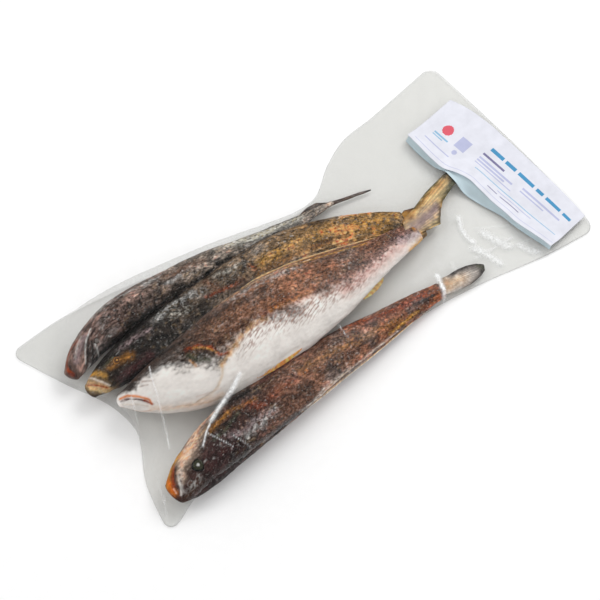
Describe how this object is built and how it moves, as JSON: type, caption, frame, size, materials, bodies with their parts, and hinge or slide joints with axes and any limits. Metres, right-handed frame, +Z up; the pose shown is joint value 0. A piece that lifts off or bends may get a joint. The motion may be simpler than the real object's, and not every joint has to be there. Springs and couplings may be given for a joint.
{
  "type": "pouch of smoked fish",
  "caption": "Clear sealed film pouch draped over whole smoked fish lying side by side, with a paper strip across its flat tail end.",
  "frame": {"origin": "middle of the pouch's box, on the surface that it lies on", "axes": "+X along the pouch from the heads to the tails and the paper strip, +Y to the far side in the picture, +Z up"},
  "size_m": [0.4076, 0.1864, 0.0485],
  "materials": {
    "film": "clear milky film, fish showing through",
    "paper": "smooth printed paper"
  },
  "bodies": {
    "root": {"bag": "film", "label": "paper"}
  },
  "joints": []
}
